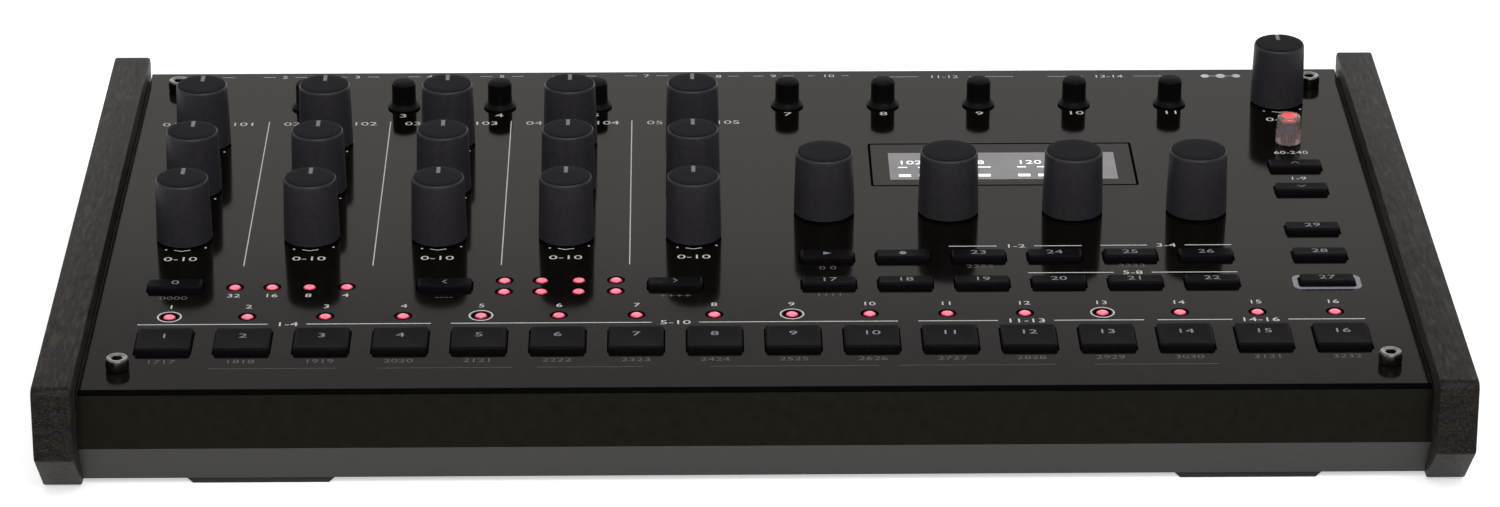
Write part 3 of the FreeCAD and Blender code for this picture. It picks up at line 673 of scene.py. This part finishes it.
INK = 0.03
RULE_V = 47.1
CHANNEL_PRINT_V = 205.4
JACK_PRINT_V = 244.2


def ruled(x0, x1, v, text="", size=2.6, width=0.5, gap=None):
    """Line along x, parted in the middle for a plain number."""
    if not text:
        return [line(x0, v, x1, v, width, INK)]
    middle = (x0 + x1) / 2 if gap is None else gap
    half = 2.0 + 1.35 * len(text)
    return [line(x0, v, middle - half, v, width, INK), line(middle + half, v, x1, v, width, INK),
            number(text, middle, v, size, INK, 1.35)]


def dot(x, v, radius):
    return (circle(x, v, radius, INK, 14), [tuple(range(14))])


white, grey = [], []
for n, (x, _) in enumerate(STEPS):
    white.append(number(str(n + 1), x, 60.0, 2.6, INK, 1.2))
    if n % 4 == 0:
        white.append(band(circle(x, STEP_LAMP_V, 3.85, INK, 56), circle(x, STEP_LAMP_V, 3.35, INK, 56)))
for x0, x1, middle, text in ((-191.5, -100.3, -145.0, "1-4"), (-94.1, 45.0, -24.3, "5-10"),
                             (51.4, 121.8, 85.0, "11-13"), (126.0, 190.7, 158.0, "14-16")):
    white += ruled(x0, x1, RULE_V, text, 2.8, 0.5, middle)
for x0, x1, v, text in ((63.7, 106.4, 103.0, "1-2"), (112.5, 154.6, 103.2, "3-4"),
                        (87.8, 154.5, 82.4, "5-8")):
    white += ruled(x0, x1, v, text)
for x in (-161.7, -120.6, -79.7, -38.8):
    white.append(line(x, 90.3, x, 207.2, 0.32, INK))
for (x, v), text in zip(times, ("32", "16", "8", "4")):
    white.append(number(text, x, 68.2, 2.5, INK, 1.25))
for x, v, _ in CHANNELS + [VOLUME]:
    for dx, dv in ((-5.2, -8.6), (7.3, -7.2)):
        white.append(dot(x + dx, v + dv, 0.38))
    white.append(line(x - 2.6, v - 9.0, x - 0.2, v - 9.9, 0.4, INK))
    white.append(line(x - 0.2, v - 9.9, x + 2.6, v - 9.0, 0.4, INK))
    white.append(number("0-10", x, v - 15.8, 2.9, INK, 1.45))
for n in range(5):
    x = CHANNELS[3 * n][0]
    white.append(number("0%d" % (n + 1), x - 12.6, CHANNEL_PRINT_V, 2.9, INK, 1.4))
    white.append(number("10%d" % (n + 1), x + 12.0, CHANNEL_PRINT_V, 2.9, INK, 1.4))
for n, (x, v, _) in enumerate(LEVELS):
    white.append(number(str(n + 1), x, v - 7.6, 2.8, INK, 1.5))
white.append(number("60-240", SIDE_X, 177.4, 2.4, INK, 1.2))
white.append(number("1-9", SIDE_X, 155.9, 2.4, INK, 1.3))
for n, x in enumerate(PHONE_X):
    white += ruled(x - 7.5, x + 7.5, 246.6, str(n + 1), 2.3, 0.25)
for n, x in enumerate(MINI_X, 8):
    white += ruled(x - 7.0, x + 7.0, 245.9, str(n), 2.3, 0.25)
white += ruled(45.0, 93.0, 244.6, "11-12", 2.3, 0.25) + ruled(105.0, 147.0, 244.4, "13-14", 2.3, 0.25)
white += [dot(159.6, JACK_PRINT_V, 1.5), dot(165.0, JACK_PRINT_V, 1.7), dot(170.4, JACK_PRINT_V, 1.5)]
white.append(line(160, JACK_PRINT_V, 170, JACK_PRINT_V, 0.4, INK))
piece("panel_print_white", white, "mark", "case")
for n, (x, v) in enumerate(STEPS):
    grey.append(number(str(n + 17) * 2, x, 20.6, 2.5, INK, 1.3))
for x, v, text in ((value_places[0][0], 66.6, "0000"), (value_places[1][0], 66.6, "----"),
                   (value_places[2][0], 66.6, "++++"), (24.3, 66.8, "1111"), (72.9, 87.6, "2222"),
                   (121.3, 87.6, "3333"), (24.3, 87.0, "0 0")):
    grey.append(number(text, x, v, 2.4, INK, 1.3))
for x0, x1, v in ((-167.0, -128.0, 15.5), (-115.3, -74.1, 15.4), (-66.9, -34.2, 15.5),
                  (-13.5, 38.0, 15.5), (44.0, 92.0, 15.5), (104.0, 142.0, 15.5)):
    grey.append(line(x0, v, x1, v, 0.25, INK))
piece("panel_print_grey", grey, "dim", "case")
ring = band(rounded_loop(SIDE_X, ROW_V, 21.6, 10.7, 2.6, INK),
            rounded_loop(SIDE_X, ROW_V, 18.4, 7.5, 1.2, INK))
piece("shift_outline", [ring], "legend", "case")


# Rear sockets: nuts, washers and pins in front of the construction's sockets

def ring_nut(x, y0, y1, flats, bore):
    """Six-sided nut round an axis along Y, with its rear edge eased and a washer ring on it."""
    def six_sided(y):
        reaches = [(turn, hexagon_reach(flats, turn)) for turn in turns(48)]
        return [(x + reach * math.cos(turn), y, JACK_Z + reach * math.sin(turn)) for turn, reach in reaches]

    levels = [(flats * 0.86, y1), (bore + 0.9, y1), (bore + 0.9, y1 + 0.25), (bore, y1 + 0.25),
              (bore, y1 - 6)]
    loops = [six_sided(y0), six_sided(y1 - 0.3)]
    loops += [rear_circle(x, JACK_Z, radius, y) for radius, y in levels]
    return flipped(loft(loops, (False, False)))


piece("phone_jack_nuts", [ring_nut(x, REAR_Y, 129.6, 6.55, 3.25) for x in PHONE_X],
      "nickel", "case", WORLD)
piece("mini_jack_nuts", [ring_nut(x, REAR_Y, 129.2, 4.35, 1.8) for x in MINI_X],
      "nickel", "case", WORLD)
pins = []
for x in DIN_X:
    for n in range(5):
        turn = math.radians(180 + 45 * n)
        pin_x, pin_z = x + 3.75 * math.cos(turn), JACK_Z + 3.75 * math.sin(turn)
        loops = [rear_circle(pin_x, pin_z, radius, y, 16)
                 for radius, y in ((1.15, REAR_Y + 0.02), (1.0, REAR_Y + 0.12), (0.75, REAR_Y + 0.12))]
        pins.append(flipped(loft(loops, (False, False))))
piece("din_pin_rims", pins, "nickel", "case", WORLD)
button = [rear_circle(BUTTON_X, JACK_Z, radius, y, 40)
          for radius, y in ((3.95, 124.0), (3.95, 130.6), (3.85, 131.0), (3.5, 131.4), (2.6, 131.5),
                            (2.3, 131.3), (0.2, 131.2))]
piece("power_button_cap", [flipped(loft(button))], "key",
      "power_button", WORLD, replaces=("power_button",))


# Floor, background and light. Their white is for rays that are seen, and it doesn't light the object.

FLOOR_GLOW = 0.56


def math_node(nodes, links, operation, first, second):
    node = nodes.new("ShaderNodeMath")
    node.operation = operation
    node.use_clamp = True
    for socket, value in zip(node.inputs, (first, second)):
        if isinstance(value, float):
            socket.default_value = value
        else:
            links.new(value, socket)
    return node.outputs[0]


def seen_rays(nodes, links):
    """Value of 1 for camera, transmission and glossy rays, else 0."""
    path = nodes.new("ShaderNodeLightPath")
    seen = path.outputs["Is Camera Ray"]
    for kind in ("Is Transmission Ray", "Is Glossy Ray"):
        seen = math_node(nodes, links, "ADD", seen, path.outputs[kind])
    return seen


floor_mesh = bpy.data.meshes.new("floor")
floor_mesh.from_pydata([(-6, -6, 0), (6, -6, 0), (6, 6, 0), (-6, 6, 0)], [], [(0, 1, 2, 3)])
floor = bpy.data.objects.new("floor", floor_mesh)
bpy.context.scene.collection.objects.link(floor)
pale_floor = finish_of("pale_floor", tone(240, 240, 240), tone(244, 244, 244), (0.8, 0.9), 3, bump=0.0,
                       glow=(1, 1, 1, 1))
floor_mesh.materials.append(pale_floor)
nodes, links = pale_floor.node_tree.nodes, pale_floor.node_tree.links
links.new(math_node(nodes, links, "MULTIPLY", seen_rays(nodes, links), FLOOR_GLOW),
          nodes["Principled BSDF"].inputs["Emission Strength"])

world = bpy.data.worlds.new("studio")
bpy.context.scene.world = world
world.use_nodes = True
nodes, links = world.node_tree.nodes, world.node_tree.links
nodes.clear()
seen, soft = [nodes.new("ShaderNodeBackground") for _ in range(2)]
seen.inputs["Color"].default_value = (1, 1, 1, 1)
seen.inputs["Strength"].default_value = 1.0
soft.inputs["Color"].default_value = (1.0, 0.985, 0.97, 1)
soft.inputs["Strength"].default_value = 0.2
blend = nodes.new("ShaderNodeMixShader")
links.new(seen_rays(nodes, links), blend.inputs[0])
links.new(soft.outputs[0], blend.inputs[1])
links.new(seen.outputs[0], blend.inputs[2])
output = nodes.new("ShaderNodeOutputWorld")
links.new(blend.outputs[0], output.inputs[0])


def softbox(name, place, aim, size, power, colour=(1, 1, 1)):
    """Rectangular lamp. Place, aim and size in metres, power in watts."""
    light = bpy.data.lights.new(name, "AREA")
    light.shape = "RECTANGLE"
    light.size, light.size_y = size
    light.energy = power
    light.color = colour
    lamp = bpy.data.objects.new(name, light)
    lamp.location = place
    lamp.rotation_euler = (Vector(aim) - Vector(place)).to_track_quat("-Z", "Y").to_euler()
    bpy.context.scene.collection.objects.link(lamp)


softbox("overhead_softbox", (0.1, -0.25, 1.5), (0, 0, 0.03), (1.6, 1.0), 4)
softbox("left_softbox", (-1.4, -0.9, 0.7), (0, 0, 0.03), (0.7, 0.9), 2)
softbox("front_softbox", (0.2, -1.75, 1.65), (0, 0, 0.04), (2.0, 1.2), 40)
softbox("rear_strip", (0.2, 2.6, 1.05), (0, 0, 0.04), (4.0, 0.74), 6.5, (1.0, 0.87, 0.74))


# Camera of the photo, as solved from it, in panel coordinates

CAMERA_YAW, CAMERA_PITCH, CAMERA_ROLL = 0.89, -24.59, 0.09
CAMERA_PLACE = (-23.46, -1392.57, 682.3)
CAMERA_LENS = 122.83


def camera_axes():
    yaw, pitch, roll = [math.radians(angle) for angle in (CAMERA_YAW, CAMERA_PITCH, CAMERA_ROLL)]
    ahead = Vector((math.sin(yaw) * math.cos(pitch), math.cos(yaw) * math.cos(pitch), math.sin(pitch)))
    right = Vector((math.cos(yaw), -math.sin(yaw), 0))
    up = right.cross(ahead)
    turned_right = math.cos(roll) * right + math.sin(roll) * up
    turned_up = math.cos(roll) * up - math.sin(roll) * right
    tilt = Matrix.Rotation(math.radians(TILT), 3, "X")
    return tilt @ turned_right, tilt @ turned_up, tilt @ ahead


right, up, ahead = camera_axes()
camera_data = bpy.data.cameras.new("camera")
camera_data.sensor_width = 36.0
camera_data.lens = CAMERA_LENS
camera = bpy.data.objects.new("camera", camera_data)
place = Matrix((right, up, -ahead)).transposed().to_4x4()
place.translation = PANEL @ (Vector(CAMERA_PLACE) * MM)
camera.matrix_world = place
camera_data.clip_start, camera_data.clip_end = 0.05, 30.0
bpy.context.scene.collection.objects.link(camera)
bpy.context.scene.camera = camera
bpy.context.scene.view_settings.view_transform = "Standard"
